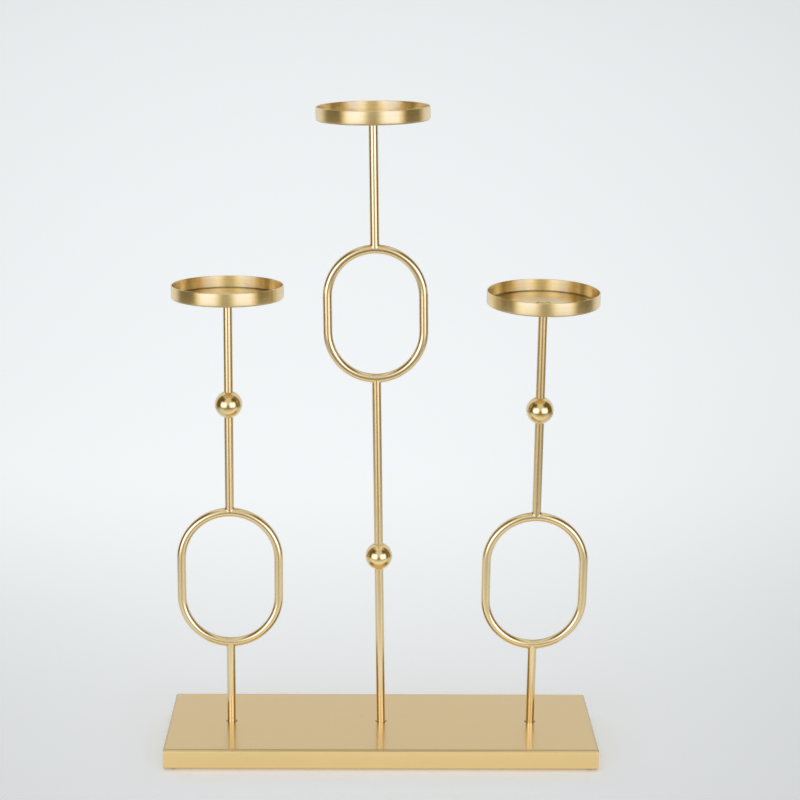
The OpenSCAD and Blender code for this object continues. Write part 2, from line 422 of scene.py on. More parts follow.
def satin_spray(nodes, place):
    """Sprayed satin: a fine grain of flakes, faint clouds, a slight orange peel, painted shade on
    the folded edges, and painted shadow on the top at the sides of the foot of each rod."""
    grain = nodes.noise(place, 0.45 * MM, rough=0.7)
    clouds = nodes.noise(place, 32 * MM, detail=3.0, rough=0.55)
    peel = nodes.noise(place, 2.6 * MM)
    x, y, z = nodes.parts(place)
    scene = bpy.context.scene

    # The painted shade on an edge begins a little further in than its rounding, and is full on the
    # rounding
    begins = 1.3 * scene.holder_base.edge_round
    full = 0.8 * scene.holder_base.edge_round
    side_fold = abs(x).rise(CASE_HIGH.x - begins, CASE_HIGH.x - full)
    front_fold = abs(y).rise(CASE_HIGH.y - begins, CASE_HIGH.y - full)
    near_top = z.rise(PLATE_TOP - begins, PLATE_TOP - full)
    top_edge_shade = nodes.math("MAXIMUM", side_fold, front_fold) * near_top
    low_edge_shade = z.fall(CASE_LOW.z + 0.5 * scene.holder_base.edge_round, CASE_LOW.z + begins)
    # Painted shade: the rounded top edges darkened as if mirroring the dim ceiling, and the bottom
    # edge darkened as if mirroring the shadow under the base
    painted_edge_shade = (1.0 - 0.4 * top_edge_shade) * (1.0 - 0.35 * low_edge_shade)

    # Painted shadow: the top is darkened in a narrow ring round each rod's foot, most at the rod's
    # left and right sides
    foot_shade_reach = scene.holder_arm.rod / 2 + scene.holder_base.seam
    soft = 0.4 * MM
    unshaded_top = 1.0
    for arm in ARMS:
        aside = x - arm.foot.x
        behind = y - arm.foot.y
        away = nodes.math("SQRT", aside * aside + behind * behind)
        beside_rod = aside * aside / (aside * aside + behind * behind)
        unshaded_top = unshaded_top * (1.0 - beside_rod * away.fall(foot_shade_reach - soft, foot_shade_reach + soft))
    brightness = (0.94 + 0.07 * grain + 0.05 * clouds) * painted_edge_shade * (0.1 + 0.9 * unshaded_top)
    rough_change = 0.06 * (clouds - 0.5) + 0.05 * (grain - 0.5)
    return brightness, rough_change, nodes.bump(peel + 0.25 * grain, 0.006 * MM)


def plated(nodes, place):
    """Plated rod: smooth, with a slow waviness and faint marks drawn along it."""
    x, y, z = nodes.parts(place)
    drawn = nodes.noise(nodes.vector(x, y, z * 0.04), 0.6 * MM)
    waves = nodes.noise(place, 9 * MM)
    brightness = 0.955 + 0.06 * drawn + 0.03 * waves
    rough_change = 0.05 * (drawn - 0.5) + 0.05 * (waves - 0.5)
    return brightness, rough_change, nodes.bump(waves + 0.06 * drawn, 0.022 * MM)


def polished(nodes, place):
    """Polished bead: a bright even skin with a few faint clouds."""
    clouds = nodes.noise(place, 4 * MM)
    specks = nodes.noise(place, 0.7 * MM, rough=0.6)
    brightness = 0.96 + 0.04 * clouds + 0.03 * specks
    rough_change = 0.05 * (clouds - 0.5) + 0.03 * (specks - 0.5)
    return brightness, rough_change, nodes.bump(clouds + 0.1 * specks, 0.008 * MM)


def turned(nodes, place):
    """Turned sheet: marks that run round the tray's axis, and a smoother floor. Painted shade makes
    a dark line where floor and wall meet, and another round the bottom edge."""
    sizes = bpy.context.scene.holder_tray
    x, y, z = nodes.parts(place)
    radius = nodes.math("SQRT", x * x + y * y)
    ring = nodes.vector(radius, 0.0, z)
    coarse = nodes.noise(ring, sizes.mark, detail=3.0, rough=0.6)
    fine = nodes.noise(ring, sizes.fine_mark, rough=0.6)
    clouds = nodes.noise(place, 14 * MM)

    # Heights are above the floor that a candle stands on
    outside = TRAY_RADIUS
    inside = outside - sizes.sheet
    # Painted shade: a dark line in the crease where floor and wall meet, and another round the
    # outer bottom bend
    corner = radius.band(inside - 2.2 * MM, inside - 1.2 * MM, inside + 0.2 * MM, inside + 0.5 * MM)
    corner = corner * z.band(-0.5 * MM, -0.1 * MM, 0.5 * MM, 1.1 * MM)
    bottom = radius.rise(outside - 1.6 * MM, outside - 0.8 * MM) * z.fall(-0.3 * MM, 0.1 * MM)
    painted_shade_lines = (1.0 - 0.6 * corner) * (1.0 - 0.45 * bottom)
    floor = radius.fall(inside - 1.5 * MM, inside - MM)
    floor = floor * z.band(-0.1 * MM, -0.05 * MM, 0.05 * MM, 0.1 * MM)
    brightness = (0.82 + 0.26 * coarse + 0.08 * fine + 0.03 * clouds) * painted_shade_lines
    rough_change = 0.08 * (fine - 0.5) + 0.06 * (clouds - 0.5) - 0.14 * floor
    return brightness, rough_change, nodes.bump(coarse + 0.5 * fine, 0.026 * MM)


def zinc_plated(nodes, place):
    """Zinc-plated steel: a cloudy, slightly grainy grey."""
    clouds = nodes.noise(place, 3 * MM, detail=3.0, rough=0.6)
    grain = nodes.noise(place, 0.5 * MM)
    brightness = 0.85 + 0.2 * clouds
    rough_change = 0.15 * (clouds - 0.5) + 0.05 * (grain - 0.5)
    return brightness, rough_change, nodes.bump(grain, 0.006 * MM)


def foam(grey):
    """Dark foam: soft and dull, with small cells."""
    material, nodes = new_material("dark_foam")
    place = nodes.object_place()
    inputs = {"Vector": place, "Scale": 1 / (0.4 * MM)}
    cells = nodes.field("ShaderNodeTexVoronoi", "Distance", {"feature": "F1"}, inputs)
    speckle = nodes.noise(place, 1.2 * MM, detail=3.0)
    inputs = {
        "Base Color": nodes.tinted(grey, 0.7 + 0.6 * speckle),
        "Roughness": 0.85 + 0.1 * cells,
        "Normal": nodes.bump(cells, 0.1 * MM),
    }
    shader = nodes.add("ShaderNodeBsdfPrincipled", None, inputs)
    nodes.surface(shader.outputs["BSDF"])
    return material


def rod_finish(arm):
    return metal("plated_rod_gold", arm.gold, arm.roughness, arm.lacquer, Nodes.own_place, plated)


def bead_finish(arm):
    return metal(
        "polished_bead_gold", arm.bead_gold, arm.bead_roughness, arm.lacquer, Nodes.own_place,
        polished,
    )


def at(x=0.0, y=0.0, z=0.0):
    """A matrix that moves to a place."""
    return Matrix.Translation((x, y, z))


def arc(middle_r, middle_z, radius, start, end, steps):
    """Points along part of a circle in the plane of an outline, between two angles in degrees."""
    turns = [math.radians(start + (end - start) * i / steps) for i in range(steps + 1)]
    return [(middle_r + radius * math.cos(t), middle_z + radius * math.sin(t)) for t in turns]


def lathe(bm, outline, steps, closed=True):
    """Spins an outline of (radius, height) points once round the Z axis."""
    verts = [bm.verts.new((r, 0, z)) for r, z in outline]
    edges = joined(bm, verts) if closed else [bm.edges.new(pair) for pair in zip(verts, verts[1:])]
    bmesh.ops.spin(
        bm, geom=verts + edges, cent=(0, 0, 0), axis=(0, 0, 1), angle=2 * math.pi, steps=steps,
        use_merge=True,
    )


def circle(bm, radius, sides, x=0.0, y=0.0, z=0.0):
    """Edges of a level circle or polygon."""
    made = bmesh.ops.create_circle(
        bm, cap_ends=False, segments=sides, radius=radius, matrix=at(x, y, z)
    )
    return list(dict.fromkeys(edge for vert in made["verts"] for edge in vert.link_edges))


def verts_in(geom):
    """The vertices among some elements."""
    return [item for item in geom if isinstance(item, bmesh.types.BMVert)]


def edges_in(geom):
    """The edges among some elements."""
    return [item for item in geom if isinstance(item, bmesh.types.BMEdge)]


def all_of(bm):
    """Every vertex, edge and face that is made so far."""
    return list(bm.verts) + list(bm.edges) + list(bm.faces)


def joined(bm, verts):
    """Edges that join vertices one after another into a loop."""
    return [bm.edges.new(pair) for pair in zip(verts, verts[1:] + verts[:1])]


def open_rim(bm, height):
    """Edges at a height that have one face only."""
    level = [e for e in bm.edges if all(abs(v.co.z - height) < SAME_PLACE for v in e.verts)]
    return [edge for edge in level if edge.is_boundary]


def fill_between(bm, edges):
    """Fills a level outline, leaving the holes that its inner loops mark."""
    bmesh.ops.triangle_fill(bm, edges=edges, use_beauty=True, use_dissolve=False)


def extrude_loop(bm, edges):
    """Extrudes a loop of edges without moving it; gives the new loop's vertices and edges."""
    made = bmesh.ops.extrude_edge_only(bm, edges=edges)["geom"]
    verts = verts_in(made)
    return verts, [edge for edge in edges_in(made) if set(edge.verts) <= set(verts)]


def sink(bm, edges, depth):
    """Walls and a floor for a pocket under a loop of edges; a negative depth goes up."""
    verts, floor_rim = extrude_loop(bm, edges)
    bmesh.ops.translate(bm, verts=verts, vec=(0, 0, -depth))
    bmesh.ops.holes_fill(bm, edges=floor_rim, sides=0)


def copy_to(bm, places):
    """Puts a copy of what is made so far at each place, instead of where it was made."""
    first = all_of(bm)
    for place in places:
        made = bmesh.ops.duplicate(bm, geom=first)["geom"]
        bmesh.ops.transform(bm, matrix=place, verts=verts_in(made))
    bmesh.ops.delete(bm, geom=verts_in(first), context="VERTS")


def finish_piece(bm, name, material, nodes=(), place=Matrix.Identity(4), flat=None):
    """Turns a bmesh into a piece of the holder that rides on its body.

    flat says of a face whether it is shaded flat; the others are smooth up to crisp edges."""
    bmesh.ops.remove_doubles(bm, verts=bm.verts, dist=SAME_PLACE)
    bmesh.ops.recalc_face_normals(bm, faces=bm.faces)
    for face in bm.faces:
        face.smooth = not (flat and flat(face))
    for edge in bm.edges:
        edge.smooth = edge.calc_face_angle(0) < CRISP
    mesh = bpy.data.meshes.new(name)
    bm.to_mesh(mesh)
    bm.free()
    own = mesh.attributes.new(OWN_PLACE, "FLOAT_VECTOR", "POINT")
    own.data.foreach_set("vector", [part for vert in mesh.vertices for part in vert.co])
    mesh.transform(place)
    mesh.materials.append(material)
    piece = bpy.data.objects.new(name, mesh)
    bpy.context.scene.collection.objects.link(piece)
    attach(piece, BODY)
    if nodes:
        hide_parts(*nodes)


def box_shell(bm, low, high):
    """Builds a box between two corners, and gives its faces."""
    stretch = Matrix.Diagonal((*(high - low), 1))
    before = set(bm.faces)
    bmesh.ops.create_cube(bm, size=1, matrix=Matrix.Translation((low + high) / 2) @ stretch)
    return [face for face in bm.faces if face not in before]


def open_face(bm, faces, up, rim):
    """Opens the lowest or highest of some faces, inside a rim; gives the opening's edges."""
    face = max(faces, key=lambda f: up * f.calc_center_median().z)
    if rim:
        bmesh.ops.inset_region(bm, faces=[face], thickness=rim, use_even_offset=True)
    edges = list(face.edges)
    bmesh.ops.delete(bm, geom=[face], context="FACES_ONLY")
    return edges


def is_square(face):
    """Whether a face looks straight along one of the axes."""
    nearly = 0.9999
    return max(abs(part) for part in face.normal) > nearly


class HOLDER_OT_base_case(bpy.types.Operator):
    """Builds the folded base with its lip, its rounded edges and its screw holes"""

    bl_idname = "holder.base_case"
    bl_label = "Base Case"

    def execute(self, context):
        base = context.scene.holder_base
        bm = bmesh.new()
        box_shell(bm, CASE_LOW, CASE_HIGH)
        rounded = bmesh.ops.bevel(
            bm, geom=list(bm.edges), offset=base.edge_round, affect="EDGES", segments=5,
            profile=0.5, material=-1,
        )["faces"]
        outer = [face for face in bm.faces if face not in rounded]
        lip_outside = open_face(bm, outer, -1, base.lip - base.edge_round)
        top_outside = open_face(bm, [f for f in outer if f.is_valid], 1, 0)
        wall = Vector((base.sheet, base.sheet, base.sheet))
        inner = box_shell(bm, CASE_LOW + wall, CASE_HIGH - wall)
        lip_inside = open_face(bm, inner, -1, base.lip - base.sheet)
        top_inside = open_face(bm, [f for f in inner if f.is_valid], 1, 0)
        bmesh.ops.bridge_loops(bm, edges=lip_outside + lip_inside)
        for arm in ARMS:
            holes = []
            for z, edges in ((CASE_HIGH.z, top_outside), (CASE_HIGH.z - base.sheet, top_inside)):
                hole = circle(bm, base.screw_hole / 2, SCREW_STEPS, arm.foot.x, arm.foot.y, z)
                edges += hole
                holes += hole
            bmesh.ops.bridge_loops(bm, edges=holes)
        fill_between(bm, top_outside)
        fill_between(bm, top_inside)
        satin = metal(
            "satin_base_gold", base.gold, base.roughness, base.lacquer, Nodes.object_place,
            satin_spray,
        )
        finish_piece(bm, "base_case", satin, ["base_pan"], flat=is_square)
        return {"FINISHED"}


class HOLDER_OT_base_pads(bpy.types.Operator):
    """Builds the four round foam pads under the base"""

    bl_idname = "holder.base_pads"
    bl_label = "Base Pads"

    def execute(self, context):
        base = context.scene.holder_base
        low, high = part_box("base_pads")
        thick = high.z - low.z
        # A pad's middle is half a lip's width in from the end of the base
        radius = high.x - (CASE_HIGH.x - base.lip / 2)
        soft = base.pad_round
        outline = [(0, 0), *arc(radius - soft, soft, soft, -90, 0, 4), (radius, thick), (0, thick)]
        bm = bmesh.new()
        lathe(bm, outline, SCREW_STEPS, closed=False)
        ends = (low.x + radius, high.x - radius)
        sides = (low.y + radius, high.y - radius)
        copy_to(bm, [at(x, y, low.z) for x in ends for y in sides])
        finish_piece(bm, "base_foam_pads", foam(base.pad_grey), ["base_pads"])
        return {"FINISHED"}


def thread(radius, low, high, pitch):
    """Zigzag outline of a thread, from low to high."""
    root = 0.86 * radius
    end = 0.8 * radius
    turns = max(1, round((high - low) / pitch))
    step = (high - low) / turns
    points = []
    for turn in range(turns):
        start = low + turn * step
        points += [(root, start), (radius, start + 0.45 * step), (radius, start + 0.55 * step)]
    return points + [(end, high)]


class HOLDER_OT_foot_fixings(bpy.types.Operator):
    """Builds the washers and the socket screws that hold the arms to the base"""

    bl_idname = "holder.foot_fixings"
    bl_label = "Foot Screws and Washers"

    def execute(self, context):
        screw = context.scene.holder_screw
        zinc = metal(
            "zinc_plated_steel", screw.zinc, screw.roughness, 0.0, Nodes.object_place, zinc_plated
        )
        soft = 0.2 * MM
        low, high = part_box("foot_washers")
        radius = (high.y - low.y) / 2
        hole = screw.washer_hole / 2
        outline = [
            *arc(radius - soft, low.z + soft, soft, -90, 0, 3),
            *arc(radius - soft, high.z - soft, soft, 0, 90, 3),
            (hole, high.z),
            (hole, low.z),
        ]
        washers = bmesh.new()
        lathe(washers, outline, SCREW_STEPS)

        low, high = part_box("foot_screws")
        radius = screw.foot_head / 2
        head_top = low.z + screw.foot_head_high
        outline = [
            *arc(radius - soft, low.z + soft, soft, -90, 0, 3),
            *arc(radius - soft, head_top - soft, soft, 0, 90, 3),
            *thread(screw.thread / 2, head_top, high.z, screw.pitch),
            (0, high.z),
        ]
        screws = bmesh.new()
        lathe(screws, outline, SCREW_STEPS, closed=False)
        rim = open_rim(screws, low.z)
        hexagon = circle(screws, screw.socket / 2 / math.cos(math.pi / 6), 6, z=low.z)
        fill_between(screws, rim + hexagon)
        sink(screws, hexagon, -screw.socket_deep)

        for bm, node in ((washers, "foot_washers"), (screws, "foot_screws")):
            copy_to(bm, [at(arm.foot.x, arm.foot.y) for arm in ARMS])
            finish_piece(bm, "zinc_" + node, zinc, [node])
        return {"FINISHED"}


def ring_line(arm, sizes):
    """The middle line of a ring's bar: its lowest and highest level, and its bends' radius."""
    low, high = arm.box(arm.side + "_ring")
    inside = sizes.bar / 2
    return low.z + inside, high.z - inside, (high.x - low.x) / 2 - inside


def ring_drop(x, bend_r):
    """How far a ring's middle line has curved away at a distance x from its lowest point."""
    return bend_r - math.sqrt(bend_r * bend_r - x * x)


def cap_of(bm, up):
    """The lowest or highest end face of a rod."""
    return max(bm.faces, key=lambda face: up * face.calc_center_median().z)


def cope(bm, cap, axis_z, up, arm, bend_r):
    """Hollows a rod's end to fit round a ring's bar, whose middle line passes at axis_z.

    up is 1 where the ring is above the rod and -1 where it is below."""
    reach = arm.bar / 2 + arm.gap
    steps = 6
    inward = arm.rod / 2 / (steps + 1)
    end = set(cap.verts)
    for _ in range(steps):
        bmesh.ops.inset_region(bm, faces=[cap], thickness=inward, use_even_offset=True)
        end |= set(cap.verts)
    for vert in end:
        hollow = math.sqrt(max(reach * reach - vert.co.y * vert.co.y, 0.0))
        vert.co.z = axis_z - up * (hollow - ring_drop(vert.co.x, bend_r))


def tap(bm, cap, arm):
    """Bores a blind tapped hole into a rod's end."""
    wall = (arm.rod - arm.tapped) / 2
    bmesh.ops.inset_region(bm, faces=[cap], thickness=wall, use_even_offset=True)
    bmesh.ops.inset_region(bm, faces=[cap], thickness=0.0, depth=-arm.tapped_depth)


def rod(bm, radius, low, high):
    """A plain round rod between two heights."""
    bmesh.ops.create_cone(
        bm, cap_ends=True, segments=ROD_SIDES, radius1=radius, radius2=radius, depth=high - low,
        matrix=at(z=(low + high) / 2),
    )


class HOLDER_OT_rods(bpy.types.Operator):
    """Builds the lower and upper rods, hollowed to fit the rings and tapped for the screws"""

    bl_idname = "holder.rods"
    bl_label = "Rods"

    def execute(self, context):
        sizes = context.scene.holder_arm
        gold = rod_finish(sizes)
        for arm in ARMS:
            ring_bottom, ring_top, bend_r = ring_line(arm, sizes)
            lower = bmesh.new()
            rod(lower, sizes.rod / 2, -sizes.rod / 2, ring_bottom)
            cope(lower, cap_of(lower, 1), ring_bottom, 1, sizes, bend_r)
            # Its foot is cut level, so that it leans and still stands flat on the base
            level = arm.place.to_3x3().inverted() @ Vector((0, 0, 1))
            cut = bmesh.ops.bisect_plane(
                lower, geom=all_of(lower), plane_co=(0, 0, 0), plane_no=level, clear_inner=True
            )
            bmesh.ops.holes_fill(lower, edges=edges_in(cut["geom_cut"]), sides=0)
            bmesh.ops.recalc_face_normals(lower, faces=lower.faces)
            tap(lower, cap_of(lower, -1), sizes)

            upper = bmesh.new()
            rod(upper, sizes.rod / 2, ring_top, arm.box(arm.side + "_upper_rod")[1].z)
            cope(upper, cap_of(upper, -1), ring_top, -1, sizes, bend_r)
            tap(upper, cap_of(upper, 1), sizes)

            for bm, node in ((lower, arm.side + "_lower_rod"), (upper, arm.side + "_upper_rod")):
                finish_piece(bm, node + "_plated", gold, [node], arm.place)
        return {"FINISHED"}


def bend(bm, ring, middle_z):
    """Carries a loop of edges half a turn round a ring's end, and gives the loop it ends on."""
    made = bmesh.ops.spin(
        bm, geom=ring, cent=(0, 0, middle_z), axis=(0, -1, 0), angle=math.pi, steps=BEND_STEPS,
    )
    return made["geom_last"]


def straight(bm, ring, rise):
    """Carries a loop of edges straight up or down, and gives the loop it ends on."""
    verts, edges = extrude_loop(bm, edges_in(ring))
    bmesh.ops.translate(bm, verts=verts, vec=(0, 0, rise))
    return verts + edges


class HOLDER_OT_rings(bpy.types.Operator):
    """Builds the three upright oval rings of round bar"""

    bl_idname = "holder.rings"
    bl_label = "Rings"

    def execute(self, context):
        sizes = context.scene.holder_arm
        gold = rod_finish(sizes)
        for arm in ARMS:
            bottom, top, bend_r = ring_line(arm, sizes)
            low_middle = bottom + bend_r
            high_middle = top - bend_r
            bm = bmesh.new()
            ring = circle(bm, sizes.bar / 2, BAR_SIDES, x=bend_r, z=low_middle)
            ring = straight(bm, ring, high_middle - low_middle)
            ring = bend(bm, ring, high_middle)
            ring = straight(bm, ring, low_middle - high_middle)
            bend(bm, ring, low_middle)
            name = arm.side + "_oval_ring"
            finish_piece(bm, name, gold, [arm.side + "_ring"], arm.place)
        return {"FINISHED"}


def weld_points(turn, sizes, bend_r):
    """Section of the weld at one turn round the rod, as if the ring lay above it.

    A small ball that touches both bars rolls round the joint; the weld is the space behind it."""
    radius = sizes.rod / 2
    ball = sizes.weld
    reach = radius + ball
    right = math.cos(turn)
    back = math.sin(turn)
    middle = Vector((reach * right, reach * back, -reach * right))
    on_rod = Vector((radius * right, radius * back, -reach * right))
    on_bar = Vector((reach * right, radius * back, -radius * right))
    corner = Vector((radius * right, radius * back, -radius * right))
    # Its back edge is hidden a little way inside both bars
    inside = corner * (1 - 0.15 * right)
    # A point close beside each outer edge keeps the smooth shading even there
    beside = 0.02
    points = [inside, on_rod.lerp(inside, beside), on_rod]
    steps = 6
    for step in range(1, steps):
        toward = (on_rod - middle).lerp(on_bar - middle, step / steps)
        points.append(middle + ball * toward.normalized())
    points += [on_bar, on_bar.lerp(inside, beside)]
    return [p + Vector((0, 0, ring_drop(p.x, bend_r))) for p in points]


def weld(bm, sizes, bend_r):
    """Builds the weld on the right of a rod, under a ring whose middle line passes through
    the origin, from front to back."""
    widest = math.radians(84)
    steps = 28
    verts = [bm.verts.new(point) for point in weld_points(-widest, sizes, bend_r)]
    loop = joined(bm, verts)
    bmesh.ops.holes_fill(bm, edges=loop, sides=0)
    for step in range(1, steps + 1):
        turn = widest * (2 * step / steps - 1)
        verts, loop = extrude_loop(bm, loop)
        for vert, point in zip(verts, weld_points(turn, sizes, bend_r)):
            vert.co = point
    bmesh.ops.holes_fill(bm, edges=loop, sides=0)


class HOLDER_OT_welds(bpy.types.Operator):
    """Builds the small smooth welds where each ring meets its rods"""

    bl_idname = "holder.welds"
    bl_label = "Welds"

    def execute(self, context):
        sizes = context.scene.holder_arm
        gold = rod_finish(sizes)
        for arm in ARMS:
            ring_bottom, ring_top, bend_r = ring_line(arm, sizes)
            for name, height, up in (("low", ring_bottom, 1), ("high", ring_top, -1)):
                bm = bmesh.new()
                weld(bm, sizes, bend_r)
                copy_to(bm, [at(z=height) @ Matrix.Diagonal((side, 1, up, 1)) for side in (1, -1)])
                full_name = arm.side + "_ring_weld_" + name
                finish_piece(bm, full_name, gold, place=arm.place)
        return {"FINISHED"}


class HOLDER_OT_beads(bpy.types.Operator):
    """Builds the three polished beads, bored for their rods"""

    bl_idname = "holder.beads"
    bl_label = "Beads"

    def execute(self, context):
        sizes = context.scene.holder_arm
        gold = bead_finish(sizes)
        radius = sizes.bead / 2
        bore = sizes.rod / 2 + sizes.gap
        chamfer_out = 0.25 * MM
        chamfer_down = 0.15 * MM
        edge = math.degrees(math.acos((bore + chamfer_out) / radius))
        for arm in ARMS:
            low, high = arm.box(arm.side + "_bead")
            middle = (low.z + high.z) / 2
            outline = arc(0, middle, radius, -edge, edge, 40)
            top = outline[-1][1] - chamfer_down
            outline += [(bore, top), (bore, 2 * middle - top)]
            bm = bmesh.new()
            lathe(bm, outline, BEAD_STEPS)
            name = arm.side + "_polished_bead"
            finish_piece(bm, name, gold, [arm.side + "_bead"], arm.place)
        return {"FINISHED"}


class HOLDER_OT_trays(bpy.types.Operator):
    """Builds the three turned trays with their rims and the recesses for the screws"""

    bl_idname = "holder.trays"
    bl_label = "Trays"

    def execute(self, context):
        sizes = context.scene.holder_tray
        gold = metal(
            "turned_tray_gold", sizes.gold, sizes.roughness, sizes.lacquer, Nodes.own_place, turned,
            sizes.streak,
        )
        thick = sizes.sheet
        hole = sizes.screw_hole / 2
        soft = 0.3 * MM
        for arm in ARMS:
            low, high = arm.box(arm.side + "_tray")
            radius = (high.x - low.x) / 2
            # Heights are above the floor that a candle stands on
            under = -thick
            lowest = low.z - arm.seat_at
            rim = high.z - arm.seat_at - thick / 2
            outline = [
                (hole, lowest + thick),
                (sizes.recess, lowest + thick),
                *arc(sizes.recess + soft, -soft, soft, 180, 90, 4),
                *arc(radius - sizes.bend, under + sizes.bend, sizes.bend - thick, -90, 0, 6),
                *arc(radius - thick / 2, rim, thick / 2, 180, 0, 8),
                *arc(radius - sizes.bend, under + sizes.bend, sizes.bend, 0, -90, 8),
                (sizes.recess + thick, under),
                *arc(sizes.recess + thick - soft, lowest + soft, soft, 0, -90, 4),
                (hole, lowest),
            ]
            bm = bmesh.new()
            lathe(bm, outline, TRAY_STEPS)
            name = arm.side + "_turned_tray"
            place = arm.place @ at(z=arm.seat_at)
            finish_piece(bm, name, gold, [arm.side + "_tray"], place)
        return {"FINISHED"}


class HOLDER_OT_tray_screws(bpy.types.Operator):
    """Builds the thin-headed cross screws in the middle of the trays"""

    bl_idname = "holder.tray_screws"
    bl_label = "Tray Screws"

    def execute(self, context):
        screw = context.scene.holder_screw
        low, high = ARMS[0].box("tray_screws")
        # Heights are above the floor that a candle stands on
        bottom = low.z - ARMS[0].seat_at
        top = high.z - ARMS[0].seat_at
        radius = (high.x - low.x) / 2
        under = top - screw.tray_head_high
        soft = 0.35 * MM
        outline = [(0, bottom), *thread(screw.thread / 2, bottom, under, screw.pitch)]
        outline += [(radius, under), *arc(radius - soft, top - soft, soft, 0, 90, 4)]
        bm = bmesh.new()
        lathe(bm, outline, SCREW_STEPS, closed=False)
        rim = open_rim(bm, top)
        far = screw.cross / 2
        near = screw.cross_wide / 2
        corners = []
        for turn in range(4):
            spun = Matrix.Rotation(turn * math.pi / 2, 4, "Z")
            for x, y in ((far, -near), (far, near), (near, near)):
                corners.append(bm.verts.new(spun @ Vector((x, y, top))))
        cross = joined(bm, corners)
        fill_between(bm, rim + cross)
        sink(bm, cross, screw.cross_deep)
        copy_to(bm, [arm.place @ at(z=arm.seat_at) for arm in ARMS])
        gold = bead_finish(context.scene.holder_arm)
        finish_piece(bm, "gold_tray_screws", gold, ["tray_screws"])
        return {"FINISHED"}


def studio_world(stage):
    """Plain studio round the holder: two soft boxes in front with a darker gap between them,
    dark warm sides, a bright ceiling, and a pale backdrop that is darker straight behind. The
    camera itself sees only a plain pale colour."""
    world = bpy.data.worlds.new("plain_studio")
    world.use_nodes = True
    bpy.context.scene.world = world
    nodes = Nodes(world.node_tree)
    x, y, z = nodes.parts(nodes.add("ShaderNodeTexCoord").outputs["Generated"])
    # Degrees away from straight in front, to either side, and degrees above eye level
    across = nodes.math("ARCTAN2", abs(x), -y) * DEGREES
    up = nodes.math("ARCSINE", z) * DEGREES

    room = stage.dark + up.rise(50, 70) * (stage.ceiling - stage.dark)
    room = room.towards(stage.ground, up.fall(-26, -10) * across.rise(20, 60))
    gap = stage.gap_low + up.rise(-8, 22) * (stage.gap_high - stage.gap_low)
    room = room.towards(gap, across.fall(20, 50))
    darker_behind = across.rise(150, 168) * (0.11 + 0.25 * up.rise(22, 38))
    room = room.towards(stage.backdrop - darker_behind, across.rise(100, 130) * up.fall(58, 76))
    soft_box = across.band(4, 30, 46, 73) * up.band(-23, 0, 8, 35)
    level = room.towards(stage.soft_box, soft_box)

    # The room's light is white where it is bright, and warm where it is dark
    white_from = 0.6
    white = rgba((1, 1, 1))
    colour = nodes.shade(room.rise(stage.dark, white_from), rgba(stage.warm), white)
    colour = nodes.shade(soft_box, colour, rgba(stage.cool))
    studio = nodes.glow("ShaderNodeBackground", colour, level)
    pale = nodes.glow("ShaderNodeBackground", rgba(stage.beyond), 1.0)
    seen = nodes.add("ShaderNodeLightPath").outputs["Is Camera Ray"]
    nodes.surface(nodes.mixed(seen, studio, pale), "ShaderNodeOutputWorld")


def floor_level(nodes, stage, x, y, radius):
    """How bright the floor looks, from 0 to 1: lighter behind the holder, slowly darker far
    away, and as pale as what lies beyond it far to the sides."""
    from_camera = nodes.math("MAXIMUM", y + stage.back, 1.25)
    # A little over 1 at the picture's right edge, and as much under 0 at its left edge
    aside = nodes.ranged(x / from_camera, -0.226, 0.226, -1.3, 1.3)
    # How often the distance from the camera has doubled since 2.6 m
    doublings = nodes.math("MAXIMUM", nodes.math("LOGARITHM", from_camera / 2.6, 2.0), 0.0)
    behind = y.rise(-0.15, 0.75)
    near = y.fall(0.0, 0.9)
    far = y.rise(0.4, 1.4)
    # In the levels of a picture, from 0 to 255
    tone = (
        221.0 - aside + behind * (25.5 - 3.0 * aside - 5.0 * aside * aside)
        + near * (3.5 - 6.3 * aside * aside) + far * (2.4 * aside - 1.8) - 4.4 * doublings
    )
    pale_tone = 255.0 * (sum(stage.beyond) / sum(stage.floor)) ** (1 / GAMMA)
    tone = tone.towards(pale_tone, abs(x / from_camera).rise(0.24, 0.6) * radius.rise(1.5, 5.0))
    return (tone / 255.0) ** GAMMA


